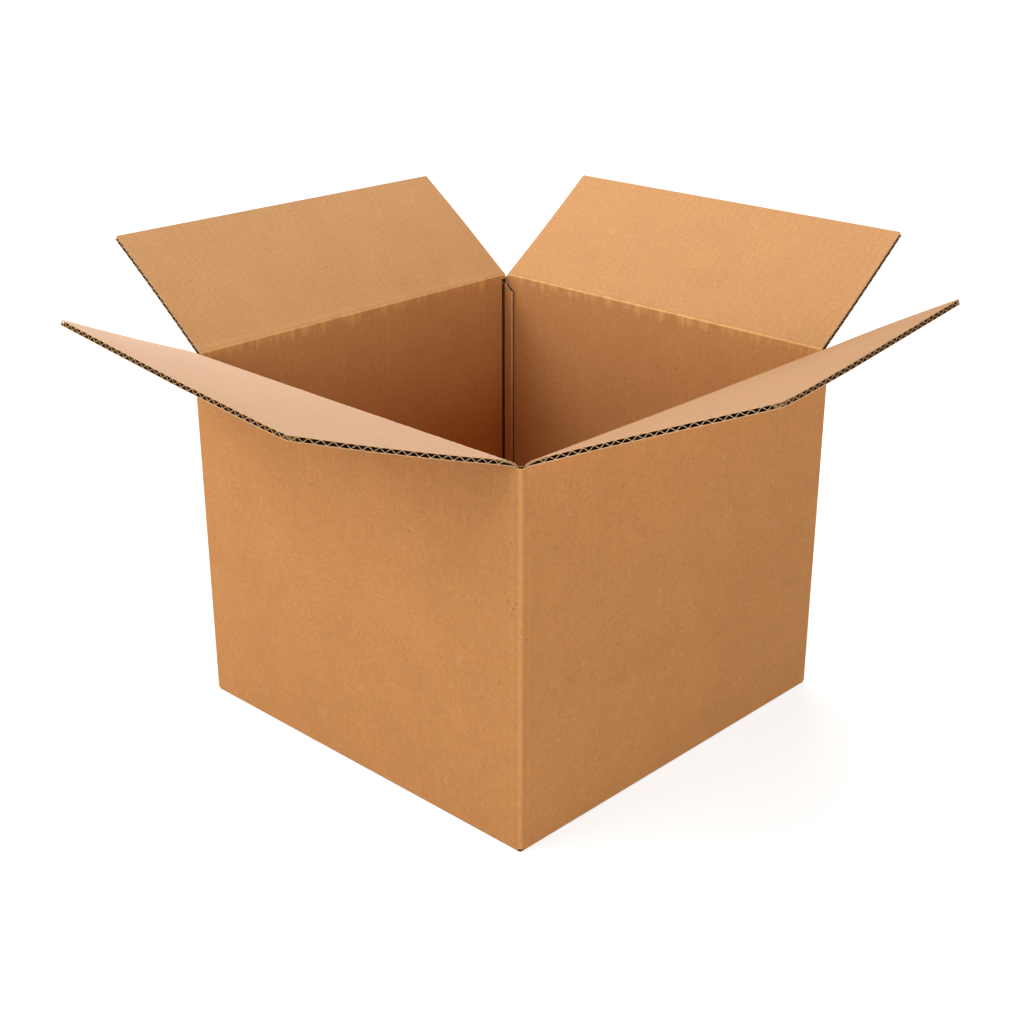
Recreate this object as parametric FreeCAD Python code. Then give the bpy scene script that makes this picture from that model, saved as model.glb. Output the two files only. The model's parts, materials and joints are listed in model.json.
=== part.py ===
import FreeCAD, Part
import math
import os

# Open cardboard shipping box, folded from one sheet of corrugated board.
# Millimetres, +Z up. The origin is the middle of the bottom, on the floor.
# Front is -Y, right is +X, back is +Y and left is -X.

os.makedirs("parts", exist_ok=True)

# Box
box_width = 350.0
box_depth = 350.0
crease_height = 290.0
board_thickness = 4.0

# Vertical folds
fold_radius_outside = 3.0
fold_radius_inside = 0.8
bottom_edge_radius = 2.0
corner_slot_size = 4.0
corner_slot_height = 2.6
wall_top_below_crease = 0.6

# Glue tab of the far corner, on the left wall and inside the back wall
tab_reach = 10.0
tab_end_chamfer = 7.0
tab_below_crease = 5.0
tab_above_bottom = 6.0
back_wall_end_gap = 0.6
glue_film = 0.3
tab_glue_margin = 1.5

# Bottom flaps
bottom_seam_gap = 1.0
bottom_seam_shift = 6.0
bottom_flap_side_gap = 0.6
bottom_glue_width = 24.0
bottom_glue_length = 300.0
bottom_glue_offset = 100.0

# Top flaps
flap_depth = 125.0
flap_side_inset = 5.5
flap_start = 4.5
hinge_lip_thickness = 0.4
hinge_lip_start = 0.3
front_slant = 80.0
right_slant = 112.0
front_angle = 72.3
right_angle = 68.0
back_angle = 53.5
left_angle = 53.5

# Hinge clearances
inner_hinge_offset = 0.2
layer_clearance = 0.3
fold_down_clearance = 0.15

# Flutes of the board
flute_pitch = 7.4
liner_thickness = 0.5
medium_thickness = 0.4
flute_wide = 5.9
flute_narrow = 0.9
flute_edge_margin = 2.2
flute_crease_margin = 6.0
cut_overrun = 2.0

half_width = box_width / 2.0
half_depth = box_depth / 2.0
UP = FreeCAD.Vector(0, 0, 1)


def block(x0, x1, y0, y1, z0, z1):
    corner = FreeCAD.Vector(min(x0, x1), min(y0, y1), min(z0, z1))
    return Part.makeBox(abs(x1 - x0), abs(y1 - y0), abs(z1 - z0), corner)


def prism(points, direction):
    wire = Part.makePolygon(points + [points[0]])
    return Part.Face(wire).extrude(direction)


def rounded_column(x0, x1, y0, y1, z0, z1, radius, corners):
    """A block with chosen vertical edges rounded; corners holds (x, y) pairs."""
    solid = block(x0, x1, y0, y1, z0, z1)
    edges = []
    for edge in solid.Edges:
        a = edge.Vertexes[0].Point
        b = edge.Vertexes[1].Point
        if abs(a.x - b.x) > 1e-6 or abs(a.y - b.y) > 1e-6:
            continue
        if any(abs(a.x - x) < 1e-6 and abs(a.y - y) < 1e-6 for x, y in corners):
            edges.append(edge)
    return solid.makeFillet(radius, edges)


def wall_sheet():
    """The four walls and the glue tab, still without bottom flaps."""
    t = board_thickness
    top = crease_height - wall_top_below_crease
    joint_face = half_depth - t - glue_film
    outer_corners = [(-half_width, -half_depth), (half_width, -half_depth), (half_width, half_depth)]
    inner_x = half_width - t
    inner_y = half_depth - t
    inner_corners = [(-inner_x, -inner_y), (inner_x, -inner_y), (inner_x, inner_y)]
    outside = rounded_column(-half_width, half_width, -half_depth, half_depth, 0, top,
                             fold_radius_outside, outer_corners)
    inside = rounded_column(-inner_x, inner_x, -inner_y, inner_y, -1, top + 1,
                            fold_radius_inside, inner_corners)
    ring = outside.cut(inside)
    # The back wall ends at the far corner in a cut edge, and the left wall stops behind it.
    ring = ring.cut(block(-half_width - 1, -half_width + back_wall_end_gap,
                          joint_face, half_depth + 1, -1, top + 1))
    ring = ring.cut(block(-half_width - 1, -inner_x, joint_face, half_depth - t, -1, top + 1))
    return ring.fuse(glue_tab(joint_face))


def glue_tab(joint_face):
    t = board_thickness
    top = crease_height - tab_below_crease
    bottom = 2 * t + glue_film + tab_above_bottom
    free_edge = -half_width + t + tab_reach
    hidden = -half_width + t / 2.0
    points = [
        FreeCAD.Vector(hidden, joint_face, bottom),
        FreeCAD.Vector(free_edge - t / 2.0, joint_face, bottom),
        FreeCAD.Vector(free_edge, joint_face, bottom + tab_end_chamfer),
        FreeCAD.Vector(free_edge, joint_face, top - tab_end_chamfer),
        FreeCAD.Vector(free_edge - t / 2.0, joint_face, top),
        FreeCAD.Vector(hidden, joint_face, top),
    ]
    return prism(points, FreeCAD.Vector(0, -t, 0))


def bottom_flaps():
    """Two outer flaps on the front and back walls, two inner flaps above them.

    The outer pair meets a little behind the middle, so the origin lies on the front one.
    """
    t = board_thickness
    reach_x = half_width - t - bottom_flap_side_gap
    reach_y = half_depth - t - bottom_flap_side_gap
    seam = bottom_seam_gap / 2.0
    inner_z = t + glue_film
    embed = t / 2.0
    flaps = []
    for side in (-1, 1):
        outer_end = bottom_seam_shift + side * seam
        flaps.append(block(-reach_x, reach_x, side * (half_depth - embed), outer_end, 0, t))
        flaps.append(block(side * (half_width - embed), side * seam, -reach_y, reach_y,
                           inner_z, inner_z + t))
    return flaps


def bottom_edges(solid):
    found = []
    for edge in solid.Edges:
        a = edge.Vertexes[0].Point
        b = edge.Vertexes[-1].Point
        low = abs(a.z) < 1e-6 and abs(b.z) < 1e-6
        along_x = abs(abs(a.y) - half_depth) < 1e-6 and abs(abs(b.y) - half_depth) < 1e-6
        along_y = abs(abs(a.x) - half_width) < 1e-6 and abs(abs(b.x) - half_width) < 1e-6
        if low and edge.Length > half_width and (along_x or along_y):
            found.append(edge)
    return found


def box_body():
    body = wall_sheet()
    s = corner_slot_size
    for sx in (-1, 1):
        for sy in (-1, 1):
            body = body.cut(block(sx * (half_width - s), sx * (half_width + 1),
                                  sy * (half_depth - s), sy * (half_depth + 1),
                                  -1, corner_slot_height))
    body = body.fuse(bottom_flaps()).removeSplitter()
    body = body.makeFillet(bottom_edge_radius, bottom_edges(body))
    return body


def joint_glue():
    """The adhesive film between the tab and the back wall."""
    t = board_thickness
    joint_face = half_depth - t - glue_film
    low = 2 * t + glue_film + tab_above_bottom + tab_end_chamfer
    high = crease_height - tab_below_crease - tab_end_chamfer
    return block(-half_width + t, -half_width + t + tab_reach - tab_glue_margin,
                 joint_face, half_depth - t, low, high)


def bottom_glue(side):
    """One adhesive strip between the outer and inner bottom flaps."""
    middle = side * bottom_glue_offset
    return block(middle - bottom_glue_width / 2.0, middle + bottom_glue_width / 2.0,
                 -bottom_glue_length / 2.0, bottom_glue_length / 2.0,
                 board_thickness, board_thickness + glue_film)


def flap_outline(half_length, slant_low, slant_high, start, end):
    """Corner points in the flap's own plane: along the crease, then away from it."""
    low_slope = slant_low / flap_depth
    high_slope = slant_high / flap_depth
    side = half_length - flap_side_inset
    return [
        FreeCAD.Vector(-side + low_slope * start, start, 0),
        FreeCAD.Vector(side - high_slope * start, start, 0),
        FreeCAD.Vector(side - high_slope * end, end, 0),
        FreeCAD.Vector(-side + low_slope * end, end, 0),
    ]


def flute_void(centre, opens_inward):
    """One channel between the liners; wide side against the liner it opens to."""
    low = liner_thickness
    high = board_thickness - liner_thickness
    if opens_inward:
        wide_at = high
        narrow_at = low + medium_thickness
    else:
        wide_at = low
        narrow_at = high - medium_thickness
    y = flap_start + flute_crease_margin
    points = [
        FreeCAD.Vector(centre - flute_wide / 2.0, y, wide_at),
        FreeCAD.Vector(centre + flute_wide / 2.0, y, wide_at),
        FreeCAD.Vector(centre + flute_narrow / 2.0, y, narrow_at),
        FreeCAD.Vector(centre - flute_narrow / 2.0, y, narrow_at),
    ]
    return prism(points, FreeCAD.Vector(0, flap_depth + cut_overrun - y, 0))


def flap_panel(half_length, slant_low, slant_high):
    """A top flap in its own plane, outer face down, with open flutes at the cut edges."""
    outline = flap_outline(half_length, slant_low, slant_high, flap_start, flap_depth)
    panel = prism(outline, FreeCAD.Vector(0, 0, board_thickness))
    lip = prism(flap_outline(half_length, slant_low, slant_high, hinge_lip_start, flap_start),
                FreeCAD.Vector(0, 0, hinge_lip_thickness))
    panel = panel.fuse(lip)
    limit = half_length - flap_side_inset - flute_edge_margin - flute_wide / 2.0
    count = int(2 * limit / (flute_pitch / 2.0))
    first = -count * flute_pitch / 4.0
    voids = []
    for index in range(count + 1):
        centre = first + index * flute_pitch / 2.0
        voids.append(flute_void(centre, index % 2 == 0))
    return panel.cut(voids).removeSplitter()


def hinge_offset(angle, over_others):
    """Hinge line beside and above the wall's outer top edge, for a rest angle in degrees."""
    if not over_others:
        return inner_hinge_offset, 0.0
    s = math.sin(math.radians(angle))
    c = math.cos(math.radians(angle))
    lifted = board_thickness + layer_clearance
    out = (lifted * s + fold_down_clearance * (1 + s)) / (1 + s + c)
    up = (lifted + out * c) / (1 + s)
    return out, up


def place_flap(panel, outward, half_span, angle, over_others):
    """Tilt a flat flap to its rest angle on the wall that faces outward."""
    s = math.sin(math.radians(angle))
    c = math.cos(math.radians(angle))
    away = outward * s + UP * c
    inward_face = UP * s - outward * c
    along = outward.cross(UP)
    origin = outward * half_span + UP * crease_height
    if not over_others:
        origin = origin + outward * inner_hinge_offset
    matrix = FreeCAD.Matrix(
        along.x, away.x, inward_face.x, origin.x,
        along.y, away.y, inward_face.y, origin.y,
        along.z, away.z, inward_face.z, origin.z,
        0, 0, 0, 1)
    placed = panel.copy()
    placed.Placement = FreeCAD.Placement(matrix)
    return placed


FRONT = FreeCAD.Vector(0, -1, 0)
RIGHT = FreeCAD.Vector(1, 0, 0)
BACK = FreeCAD.Vector(0, 1, 0)
LEFT = FreeCAD.Vector(-1, 0, 0)

shapes = {
    "box_body": box_body(),
    "joint_glue": joint_glue(),
    "bottom_glue_left": bottom_glue(-1),
    "bottom_glue_right": bottom_glue(1),
    "front_flap": place_flap(flap_panel(half_width, front_slant, 0.0),
                             FRONT, half_depth, front_angle, True),
    "right_flap": place_flap(flap_panel(half_depth, 0.0, right_slant),
                             RIGHT, half_width, right_angle, False),
    "back_flap": place_flap(flap_panel(half_width, 0.0, 0.0),
                            BACK, half_depth, back_angle, True),
    "left_flap": place_flap(flap_panel(half_depth, 0.0, 0.0),
                            LEFT, half_width, left_angle, False),
}

for name, shape in shapes.items():
    shape.exportStep("parts/" + name + ".step")

for name, outward, half_span, angle, over in (
        ("front", FRONT, half_depth, front_angle, True),
        ("right", RIGHT, half_width, right_angle, False),
        ("back", BACK, half_depth, back_angle, True),
        ("left", LEFT, half_width, left_angle, False)):
    out, up = hinge_offset(angle, over)
    point = outward * (half_span + out) + UP * (crease_height + up)
    print(name, "hinge", round(point.x, 4), round(point.y, 4), round(point.z, 4))
for name, shape in shapes.items():
    box = shape.BoundBox
    print(name, len(shape.Solids), shape.isValid(), round(shape.Volume, 1),
          [round(v, 2) for v in (box.XMin, box.XMax, box.YMin, box.YMax, box.ZMin, box.ZMax)])
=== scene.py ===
import bmesh
import bpy
import json
import math
from bpy.props import FloatProperty, FloatVectorProperty, PointerProperty
from bpy.types import Operator, Panel, PropertyGroup
from mathutils import Matrix, Vector, noise


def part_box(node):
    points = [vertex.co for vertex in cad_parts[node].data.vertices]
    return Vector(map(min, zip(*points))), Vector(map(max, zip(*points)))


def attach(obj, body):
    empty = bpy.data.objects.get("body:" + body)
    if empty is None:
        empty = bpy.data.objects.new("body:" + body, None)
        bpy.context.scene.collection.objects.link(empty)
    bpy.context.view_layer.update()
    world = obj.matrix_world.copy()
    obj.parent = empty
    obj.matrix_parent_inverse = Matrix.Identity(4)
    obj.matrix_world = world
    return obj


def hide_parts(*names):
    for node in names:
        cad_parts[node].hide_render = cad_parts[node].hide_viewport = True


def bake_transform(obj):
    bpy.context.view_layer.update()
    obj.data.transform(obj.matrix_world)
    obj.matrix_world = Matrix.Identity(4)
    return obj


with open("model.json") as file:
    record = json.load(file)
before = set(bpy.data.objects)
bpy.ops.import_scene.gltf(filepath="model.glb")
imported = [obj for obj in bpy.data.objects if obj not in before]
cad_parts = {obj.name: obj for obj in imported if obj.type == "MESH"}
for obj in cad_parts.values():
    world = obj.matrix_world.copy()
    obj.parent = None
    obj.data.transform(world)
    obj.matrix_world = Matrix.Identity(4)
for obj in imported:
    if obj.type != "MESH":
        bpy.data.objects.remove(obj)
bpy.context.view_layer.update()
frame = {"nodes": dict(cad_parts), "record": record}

bl_info = {
    "name": "Open cardboard box",
    "version": (1, 0, 0),
    "blender": (4, 5, 0),
    "location": "3D View > Sidebar > Box",
    "description": "Builds an open corrugated box with its creases, flaps and finishes",
    "category": "Add Mesh",
}

UP = Vector((0, 0, 1))
shell_high = Vector(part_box("box_body")[1])

# Places of the finishes in every piece's material list
# The last finish is painted shade: a dark colour for the unlit backs of the liners and for shaded
# hollows
OUTER, INNER, CUT, MEDIUM, PAINTED_SHADE = range(5)

# Which way a paper's thickness goes from its skin
INWARD, CENTRED = -1.0, 0.0

# Gap between a bottom flap's side and the wall beside it
SIDE_GAP = 0.0006

# Rows from a crease's start to its pressed line, outside and inside
OUTSIDE_STEPS, INSIDE_STEPS = 4, 9

# Strength of the painted highlight beside a pressed line, where 1 is the line itself; it stands in for
# light caught by the crease
CREASE_HIGHLIGHT_BESIDE = 0.52

# Outward direction, flap angle from upright in degrees, gap beside the wall,
# narrowing of the side at the low end and at the high end of the crease.
SIDES = {
    "front": (Vector((0, -1, 0)), 72.3, 0.0, 0.080, 0.0),
    "right": (Vector((1, 0, 0)), 68.0, 0.0002, 0.0, 0.112),
    "back": (Vector((0, 1, 0)), 53.5, 0.0, 0.0, 0.0),
    "left": (Vector((-1, 0, 0)), 53.5, 0.0002, 0.0, 0.0),
}

JOINTS = {
    side: next(j["pos_m"] for j in frame["record"]["behaviour"]["joints"]
               if j["name"] == side + "_flap_crease")
    for side in SIDES
}


class BoardSettings(PropertyGroup):
    """The corrugated board that the box is folded from."""
    thickness: FloatProperty(name="Board thickness", description="Over both liners",
                             default=0.004, unit="LENGTH")
    liner: FloatProperty(name="Liner thickness", description="Each flat outer paper",
                         default=0.0005, unit="LENGTH")
    medium: FloatProperty(name="Medium thickness", description="The wavy paper in between",
                          default=0.00040, unit="LENGTH")
    pitch: FloatProperty(name="Flute pitch", description="From one wave to the next",
                         default=0.0074, unit="LENGTH")
    recess: FloatProperty(name="Wave recess", description="Waves end this far inside a cut edge",
                          default=0.00012, unit="LENGTH")
    wave_depth: FloatProperty(name="Wave depth", description="How far in the waves are made",
                              default=0.010, unit="LENGTH")


class ShellSettings(PropertyGroup):
    """Walls, vertical folds, glue tab and bottom."""
    fold_outside: FloatProperty(name="Outer fold radius", description="Vertical folds, outside",
                                default=0.003, unit="LENGTH")
    fold_inside: FloatProperty(name="Inner fold radius", description="Vertical folds, inside",
                               default=0.0008, unit="LENGTH")
    bottom_radius: FloatProperty(name="Bottom edge radius", description="Outer bottom folds",
                                 default=0.002, unit="LENGTH")
    slot: FloatProperty(name="Corner slot", description="Cut beside each bottom fold",
                        default=0.0032, unit="LENGTH")
    slot_height: FloatProperty(name="Corner slot height", description="Height of that cut",
                               default=0.0026, unit="LENGTH")
    groove: FloatProperty(name="Score groove", description="Depth of the pressed line at a fold",
                          default=0.00035, unit="LENGTH")
    bow: FloatProperty(name="Wall bow", description="How far the walls wander from flat",
                       default=0.0005, unit="LENGTH")
    seam_shift: FloatProperty(name="Bottom seam", description="Outer seam's place behind the middle",
                              default=0.006, unit="LENGTH")
    seam_gap: FloatProperty(name="Seam gap", description="Gap between meeting bottom flaps",
                            default=0.001, unit="LENGTH")
    tab_fold: FloatProperty(name="Tab fold radius", description="Inside of the tab's fold",
                            default=0.0017, unit="LENGTH")
    tab_cleft: FloatProperty(name="Tab fold cleft", description="Depth of the pressed line there",
                             default=0.0036, unit="LENGTH")
    tab_reach: FloatProperty(name="Tab reach", description="Glue tab, from the inner corner",
                             default=0.010, unit="LENGTH")
    tab_low: FloatProperty(name="Tab bottom", description="Lower slanted end, above the floor",
                           default=0.0143, unit="LENGTH")
    tab_high: FloatProperty(name="Tab top", description="Upper slanted end, above the floor",
                            default=0.2850, unit="LENGTH")
    tab_slant: FloatProperty(name="Tab slant", description="Height each end loses over the reach",
                             default=0.0070, unit="LENGTH")
    joint_film: FloatProperty(name="Glue film", description="Between the tab and the back wall",
                              default=0.0003, unit="LENGTH")


class FlapSettings(PropertyGroup):
    """The four top flaps and their creases."""
    depth: FloatProperty(name="Flap depth", description="Crease to free edge",
                         default=0.125, unit="LENGTH")
    inset: FloatProperty(name="Side inset", description="Flap end to the wall's corner",
                         default=0.0055, unit="LENGTH")
    start: FloatProperty(name="Crease width", description="Where the stiff panel's outside begins",
                         default=0.0045, unit="LENGTH")
    soft_start: FloatProperty(name="Inside crease width", description="Where the panel's inside begins",
                              default=0.0095, unit="LENGTH")
    soft_drop: FloatProperty(name="Inside crease drop", description="How far down the wall it bends",
                             default=0.0058, unit="LENGTH")
    pinch: FloatProperty(name="Crease pinch", description="Board thickness left at the crease",
                         default=0.0017, unit="LENGTH")
    far_start: FloatProperty(name="Far crease width", description="Left and back flaps, inside",
                             default=0.0049, unit="LENGTH")
    far_drop: FloatProperty(name="Far crease drop", description="Left and back walls, inside",
                            default=0.0018, unit="LENGTH")
    far_pinch: FloatProperty(name="Far crease pinch", description="Board left at those creases",
                             default=0.0042, unit="LENGTH")
    crease_height: FloatProperty(name="Crease height", description="Above the floor",
                                 default=0.290, unit="LENGTH")
    front_droop: FloatProperty(name="Front droop", description="Near end of the front flap, degrees",
                               default=4.5)
    front_lift: FloatProperty(name="Front lift", description="Far end of the front flap, degrees",
                              default=6.0)
    right_droop: FloatProperty(name="Right droop", description="Near end of the right flap, degrees",
                               default=3.5)
    right_lift: FloatProperty(name="Right lift", description="Far end of the right flap, degrees",
                              default=7.0)
    bow: FloatProperty(name="Flap bow", description="Curve of a flap from crease to free edge",
                       default=0.0012, unit="LENGTH")
    crush: FloatProperty(name="Crease crush", description="Unevenness of the pressed crease",
                         default=0.00028, unit="LENGTH")


class FinishSettings(PropertyGroup):
    """Paper colours, linear, and the colour of painted shade."""
    outer: FloatVectorProperty(name="Outer liner", description="Outside of the box",
                               subtype="COLOR", default=(0.645, 0.286, 0.093))
    inner: FloatVectorProperty(name="Inner liner", description="Inside of the box and flaps",
                               subtype="COLOR", default=(0.618, 0.303, 0.110))
    cut: FloatVectorProperty(name="Cut edge", description="Fresh paper at the cut edges",
                             subtype="COLOR", default=(0.780, 0.470, 0.235))
    medium: FloatVectorProperty(name="Medium", description="Wavy paper between the liners",
                                subtype="COLOR", default=(0.230, 0.115, 0.042))
    # Painted shade: the liners' backs and the shaded hollows get this dark colour, though the board is
    # the same kraft throughout
    back: FloatVectorProperty(name="Painted shade", description="Unlit side of the liners",
                              subtype="COLOR", default=(0.055, 0.026, 0.010))
    glue: FloatVectorProperty(name="Glue", description="Dried adhesive",
                              subtype="COLOR", default=(0.520, 0.360, 0.180))


class StudioSettings(PropertyGroup):
    """Camera, floor and lamps."""
    azimuth: FloatProperty(name="Azimuth", description="Camera direction, degrees", default=43.7321)
    elevation: FloatProperty(name="Elevation", description="Camera height, degrees", default=22.5509)
    distance: FloatProperty(name="Distance", description="Camera to the box's middle",
                            default=1.33095, unit="LENGTH")
    aim_right: FloatProperty(name="Aim right", description="Camera offset to its right",
                             default=-0.000388, unit="LENGTH")
    aim_up: FloatProperty(name="Aim up", description="Camera offset upward in the view",
                          default=0.011676, unit="LENGTH")
    lens: FloatProperty(name="Lens", description="Focal length in millimetres", default=57.848)
    key_low: FloatProperty(name="Low key lamp", description="Power of the low front left lamp",
                           default=15.0)
    key_high: FloatProperty(name="High key lamp", description="Power of the high front left lamp",
                            default=30.0)
    side: FloatProperty(name="Side lamp", description="Power of the right lamp", default=32.0)
    top: FloatProperty(name="Top lamp", description="Power of the high rear lamp", default=43.0)
    sky: FloatProperty(name="Sky", description="Even light from all round", default=0.012)
    floor_glow: FloatProperty(name="Floor whiteness", description="Evens out the white near the box",
                              default=0.80)
    floor_size: FloatProperty(name="Floor size", description="Half the floor's width",
                              default=6.0, unit="LENGTH")


class Skin:
    """Strips of faces of one paper surface, welded where they meet."""

    def __init__(self):
        self.points = []
        self.along = []
        # Per point strength of the painted highlight along the creases
        self.ridge = []
        self.faces = []

    def strip(self, rows, along, turned=False, ridge=None):
        base = len(self.points)
        width = len(rows[0])
        for index, row in enumerate(rows):
            self.points.extend(row)
            self.along.extend(along)
            self.ridge.extend([ridge[index] if ridge else 0.0] * width)
        for r in range(len(rows) - 1):
            for c in range(width - 1):
                a = base + r * width + c
                face = (a, a + 1, a + width + 1, a + width)
                self.faces.append(face[::-1] if turned else face)


def board_piece(name, layers, finishes):
    """One object from layers of (skin, thickness, offset, finish, rim finish, far side finish)."""
    joined = bmesh.new()
    for skin, thickness, offset, finish, rim, far_side in layers:
        mesh = bpy.data.meshes.new(name + "_layer")
        mesh.from_pydata([tuple(p) for p in skin.points], [], skin.faces)
        along = mesh.attributes.new("flute_place", "FLOAT", "POINT")
        along.data.foreach_set("value", skin.along)
        # The painted crease highlight goes to the shader as a point attribute
        ridge = mesh.attributes.new("ridge", "FLOAT", "POINT")
        ridge.data.foreach_set("value", skin.ridge)
        welded = bmesh.new()
        welded.from_mesh(mesh)
        bmesh.ops.remove_doubles(welded, verts=welded.verts, dist=2e-6)
        welded.to_mesh(mesh)
        welded.free()
        holder = bpy.data.objects.new(name + "_layer", mesh)
        bpy.context.scene.collection.objects.link(holder)
        for material in finishes:
            mesh.materials.append(material)
        mesh.polygons.foreach_set("material_index", [finish] * len(mesh.polygons))
        solid = holder.modifiers.new("Paper", "SOLIDIFY")
        solid.thickness = thickness
        solid.offset = offset
        solid.use_even_offset = True
        solid.material_offset_rim = rim - finish
        solid.material_offset = far_side - finish
        graph = bpy.context.evaluated_depsgraph_get()
        thick = bpy.data.meshes.new_from_object(holder.evaluated_get(graph))
        joined.from_mesh(thick)
        bpy.data.objects.remove(holder)
        bpy.data.meshes.remove(mesh)
        bpy.data.meshes.remove(thick)
    mesh = bpy.data.meshes.new(name)
    joined.to_mesh(mesh)
    joined.free()
    for material in finishes:
        mesh.materials.append(material)
    mesh.shade_smooth()
    mesh.set_sharp_from_angle(angle=math.radians(40))
    piece = bpy.data.objects.new(name, mesh)
    bpy.context.scene.collection.objects.link(piece)
    return piece


def spread(low, high, near_ends, step):
    """Stations from low to high, close together near both ends."""
    values = {low, high}
    for d in near_ends:
        values.add(low + d)
        values.add(high - d)
    first = low + near_ends[-1]
    last = high - near_ends[-1]
    count = max(1, round((last - first) / step))
    for i in range(1, count):
        values.add(first + (last - first) * i / count)
    return sorted(values)


def wander(x, y, seed, size):
    """Slow, repeatable unevenness between -1 and 1."""
    return noise.noise(Vector((x / size, y / size, seed)))


def wave_height(turns):
    """Flat-topped zigzag between -1 and 1, one period per turn."""
    part = (turns + 0.25) % 1.0
    zigzag = 1.0 - 4.0 * abs(part - 0.5)
    return max(-1.0, min(1.0, 1.25 * zigzag))


def add_waves(skin, board, length, place, ends=(True, True), seed=0.0):
    """Wavy paper along a cut edge; place(s, inward, n) gives a point of the board."""
    amplitude = board.thickness / 2 - board.liner - board.medium / 2
    middle = board.thickness / 2
    trim = 0.0006
    low = trim if ends[0] else 0.0
    high = length - trim if ends[1] else length
    turns = max(1, round((high - low) / board.pitch))
    count = turns * 10
    rows = [[], [], []]
    for i in range(count + 1):
        s = low + (high - low) * i / count
        slip = 0.16 * noise.noise(Vector((s * 40, seed, 1.7)))
        give = 1.0 - 0.10 * abs(noise.noise(Vector((s * 60, seed, 5.1))))
        n = middle + amplitude * give * wave_height(turns * i / count + slip)
        room = board.wave_depth
        if ends[0]:
            room = min(room, s * 0.9 + 0.0004)
        if ends[1]:
            room = min(room, (length - s) * 0.9 + 0.0004)
        start = board.recess + 0.00015 * noise.noise(Vector((s * 300, seed, 9.3)))
        room = max(room, start + 0.0002)
        for row, share in zip(rows, (0.0, 0.5, 1.0)):
            row.append(place(s, start + (room - start) * share, n))
    skin.strip(rows, [0.0] * (count + 1))


# Walls, glue tab and bottom
def wall_columns(shell, board):
    """Stations round the folded sheet, each (outer point, inner point, outward, wall, is_flat)."""
    half = shell_high.x
    t = board.thickness
    ro, ri = shell.fold_outside, shell.fold_inside
    joint = half - t - shell.joint_film
    near_ends = [0.0007, 0.001, 0.002, 0.003, 0.004, 0.0049, 0.0055, 0.007, 0.009, 0.012, 0.018]
    columns = []

    def flat(name, outward, direction, low, high, low_in, high_in, bottom_low, bottom_high):
        stations = spread(low, high, near_ends, 0.0095)
        stations = sorted(set(stations) | {bottom_low, bottom_high})
        for s in stations:
            share = (s - low) / (high - low)
            s_in = low_in + (high_in - low_in) * share
            outer = outward * half + direction * s
            inner = outward * (half - t) + direction * s_in
            columns.append((outer, inner, outward, name, bottom_low <= s <= bottom_high))

    def bend(outer_centre, inner_centre, start, finish, inner_radius=ri, cleft=0.0):
        steps = 7
        for i in range(1, steps):
            angle = i / steps * math.pi / 2
            outward = start * math.cos(angle) + finish * math.sin(angle)
            deep = inner_radius + cleft * math.sin(math.pi * i / steps) ** 0.7
            columns.append((outer_centre + outward * ro, inner_centre + outward * deep,
                            outward, "fold", False))

    back, right = Vector((0, 1, 0)), Vector((1, 0, 0))
    front, left = -back, -right
    flat_end = half - ro
    in_end = half - t - ri
    slot_end = half - shell.slot
    cut_end = -(half - 0.0006)
    flat("back", back, right, cut_end, flat_end, cut_end, in_end, -slot_end, slot_end)
    bend(Vector((flat_end, flat_end, 0)), Vector((in_end, in_end, 0)), back, right)
    flat("right", right, front, -flat_end, flat_end, -in_end, in_end, -slot_end, slot_end)
    bend(Vector((flat_end, -flat_end, 0)), Vector((in_end, -in_end, 0)), right, front)
    flat("front", front, left, -flat_end, flat_end, -in_end, in_end, -slot_end, slot_end)
    bend(Vector((-flat_end, -flat_end, 0)), Vector((-in_end, -in_end, 0)), front, left)
    joint_flat = joint - ro
    rt = shell.tab_fold
    joint_in = joint - t - rt
    flat("left", left, back, -flat_end, joint_flat, -in_end, joint_in, -slot_end, joint_flat)
    bend(Vector((-flat_end, joint_flat, 0)), Vector((-half + t + rt, joint_in, 0)), left, back,
         rt, shell.tab_cleft)
    return columns


def tab_columns(shell, board):
    """Stations of the glue tab, each (outer point, inner point, share of its reach)."""
    half = shell_high.x
    t = board.thickness
    joint = half - t - shell.joint_film
    free = -half + t + shell.tab_reach
    first_out = -half + shell.fold_outside
    first_in = -half + t + shell.tab_fold
    result = []
    for share in (0.0, 0.08, 0.2, 0.35, 0.5, 0.65, 0.8, 0.9, 1.0):
        outer = Vector((first_out + (free - first_out) * share, joint, 0))
        inner = Vector((first_in + (free - first_in) * share, joint - t, 0))
        result.append((outer, inner, share))
    return result


def tab_range(shell, share, low, high):
    """Bottom and top of the tab where its slanted ends have been cut."""
    if share < 0.01:
        return low, high
    return shell.tab_low + shell.tab_slant * share, shell.tab_high - shell.tab_slant * share


def wall_relief(shell, column, z, outer):
    """How far a point of a wall lies off its flat plane."""
    point, wall = column[0], column[3]
    half = shell_high.x
    across = point.x if wall in ("front", "back") else point.y
    if wall == "fold":
        return 0.0
    edge = half - abs(across)
    rise = min(1.0, edge / 0.03) * min(1.0, z / 0.03) * min(1.0, (shell_high.z - z) / 0.03)
    seed = {"front": 1.3, "right": 4.1, "back": 7.7, "left": 9.2}[wall]
    slow = shell.bow * (wander(across, z, seed, 0.16) - 0.35) * rise
    pressed = -shell.groove * math.exp(-((edge - 0.0065) / 0.0016) ** 2)
    if not outer:
        pressed = 0.6 * shell.groove * math.exp(-((edge - 0.0085) / 0.0018) ** 2)
    return slow + pressed


def heights(low, high):
    """Levels up a wall, closer together near its bottom and its top."""
    near = [0.0014, 0.004, 0.008, 0.014, 0.022]
    margin = near[-1]
    steps = 26
    levels = [low] + [low + d for d in near]
    levels += [low + margin + (high - low - 2 * margin) * i / steps for i in range(1, steps)]
    return levels + [high - d for d in (margin, 0.012, 0.006, 0.003, 0.0)]


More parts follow.
